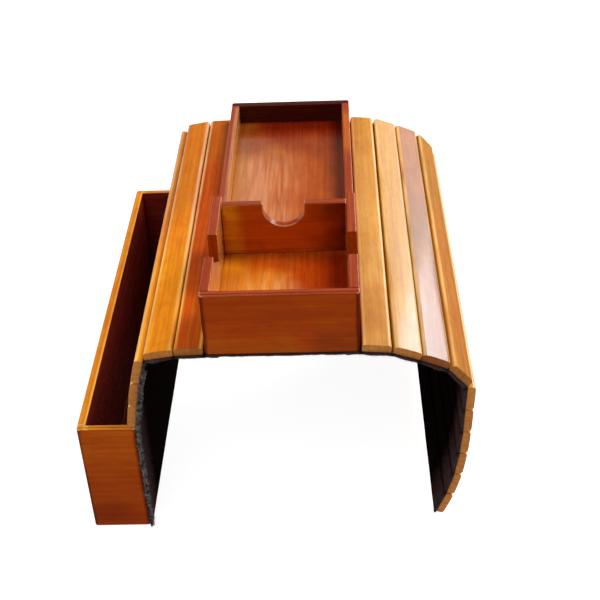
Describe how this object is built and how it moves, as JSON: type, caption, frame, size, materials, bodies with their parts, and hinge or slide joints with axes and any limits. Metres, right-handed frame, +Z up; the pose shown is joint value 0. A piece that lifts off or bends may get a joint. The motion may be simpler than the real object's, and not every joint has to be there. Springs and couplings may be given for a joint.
{
  "type": "sofa arm tray",
  "caption": "Flexible slatted wooden mat draped over a sofa arm, with an open divided tray on top and a deep pocket at one side.",
  "frame": {"origin": "middle of the underside of the cloth backing below the tray, where the mat rests on the arm", "axes": "+Y along the slats to the rear, +Z up out of the tray, +X across the arm away from the side pocket"},
  "size_m": [0.2765, 0.3316, 0.2077],
  "materials": {
    "slat_wood": "gloss varnish over stained wood",
    "tray_wood": "gloss varnish over stained wood",
    "tray_inside_wood": "gloss varnish over stained wood",
    "pocket_wood": "gloss varnish over stained wood",
    "pocket_inside_wood": "stained wood",
    "backing_cloth": "black felted cloth"
  },
  "bodies": {
    "tray": {"tray_floor": "tray_inside_wood", "tray_front_wall": "tray_wood", "tray_rear_wall": "tray_wood", "tray_left_wall": "tray_wood", "tray_right_wall": "tray_wood", "tray_divider": "tray_inside_wood", "backing_centre": "backing_cloth"},
    "right_link_1": {"slat_right_1": "slat_wood", "backing_right_1": "backing_cloth"},
    "right_link_2": {"slat_right_2": "slat_wood", "backing_right_2": "backing_cloth"},
    "right_link_3": {"slat_right_3": "slat_wood", "backing_right_3": "backing_cloth"},
    "right_link_4": {"slat_right_4": "slat_wood", "backing_right_4": "backing_cloth"},
    "right_link_5": {"slat_right_5": "slat_wood", "backing_right_5": "backing_cloth"},
    "right_link_6": {"slat_right_6": "slat_wood", "backing_right_6": "backing_cloth"},
    "right_link_7": {"slat_right_7": "slat_wood", "backing_right_7": "backing_cloth"},
    "right_link_8": {"slat_right_8": "slat_wood", "backing_right_8": "backing_cloth"},
    "right_link_9": {"slat_right_9": "slat_wood", "backing_right_9": "backing_cloth"},
    "right_link_10": {"slat_right_10": "slat_wood", "backing_right_10": "backing_cloth"},
    "left_link_1": {"slat_left_1": "slat_wood", "backing_left_1": "backing_cloth"},
    "left_link_2": {"slat_left_2": "slat_wood", "backing_left_2": "backing_cloth"},
    "left_link_3": {"slat_left_3": "slat_wood", "backing_left_3": "backing_cloth"},
    "left_link_4": {"slat_left_4": "slat_wood", "backing_left_4": "backing_cloth"},
    "left_link_5": {"slat_left_5": "slat_wood", "backing_left_5": "backing_cloth"},
    "pocket": {"pocket_outer_wall": "pocket_wood", "pocket_inner_wall": "pocket_wood", "pocket_bottom": "pocket_inside_wood", "pocket_front_end": "pocket_wood", "pocket_rear_end": "pocket_wood", "backing_pocket": "backing_cloth"}
  },
  "joints": [
    {"name": "right_bend_1", "type": "hinge", "parent": "tray", "child": "right_link_1", "pos_m": [0.052, 0, 0], "axis": [0, 1, 0], "range_deg": [-5, 15]},
    {"name": "right_bend_2", "type": "hinge", "parent": "right_link_1", "child": "right_link_2", "pos_m": [0.07192, 0, -0.00174], "axis": [0, 1, 0], "range_deg": [-15, 15]},
    {"name": "right_bend_3", "type": "hinge", "parent": "right_link_2", "child": "right_link_3", "pos_m": [0.09072, 0, -0.00858], "axis": [0, 1, 0], "range_deg": [-3, 15]},
    {"name": "right_bend_4", "type": "hinge", "parent": "right_link_3", "child": "right_link_4", "pos_m": [0.10913, 0, -0.0164], "axis": [0, 1, 0], "range_deg": [-26, 15]},
    {"name": "right_bend_5", "type": "hinge", "parent": "right_link_4", "child": "right_link_5", "pos_m": [0.12225, 0, -0.03149], "axis": [0, 1, 0], "range_deg": [-43, 15]},
    {"name": "right_bend_6", "type": "hinge", "parent": "right_link_5", "child": "right_link_6", "pos_m": [0.12155, 0, -0.05148], "axis": [0, 1, 0], "range_deg": [0, 15]},
    {"name": "right_bend_7", "type": "hinge", "parent": "right_link_6", "child": "right_link_7", "pos_m": [0.12085, 0, -0.07147], "axis": [0, 1, 0], "range_deg": [-2, 15]},
    {"name": "right_bend_8", "type": "hinge", "parent": "right_link_7", "child": "right_link_8", "pos_m": [0.11946, 0, -0.09142], "axis": [0, 1, 0], "range_deg": [-4, 15]},
    {"name": "right_bend_9", "type": "hinge", "parent": "right_link_8", "child": "right_link_9", "pos_m": [0.11667, 0, -0.11122], "axis": [0, 1, 0], "range_deg": [-6, 15]},
    {"name": "right_bend_10", "type": "hinge", "parent": "right_link_9", "child": "right_link_10", "pos_m": [0.11184, 0, -0.13063], "axis": [0, 1, 0], "range_deg": [-7, 15]},
    {"name": "left_bend_1", "type": "hinge", "parent": "tray", "child": "left_link_1", "pos_m": [-0.052, 0, 0], "axis": [0, -1, 0], "range_deg": [-2, 12]},
    {"name": "left_bend_2", "type": "hinge", "parent": "left_link_1", "child": "left_link_2", "pos_m": [-0.07199, 0, -0.0007], "axis": [0, -1, 0], "range_deg": [-7, 12]},
    {"name": "left_bend_3", "type": "hinge", "parent": "left_link_2", "child": "left_link_3", "pos_m": [-0.09174, 0, -0.00383], "axis": [0, -1, 0], "range_deg": [-66, 12]},
    {"name": "left_bend_4", "type": "hinge", "parent": "left_link_3", "child": "left_link_4", "pos_m": [-0.09692, 0, -0.02315], "axis": [0, -1, 0], "range_deg": [-4, 12]},
    {"name": "left_bend_5", "type": "hinge", "parent": "left_link_4", "child": "left_link_5", "pos_m": [-0.10073, 0, -0.04278], "axis": [0, -1, 0], "range_deg": [-2, 12]},
    {"name": "pocket_bend", "type": "hinge", "parent": "left_link_5", "child": "pocket", "pos_m": [-0.10386, 0, -0.06253], "axis": [0, -1, 0], "range_deg": [-9, 12]}
  ]
}
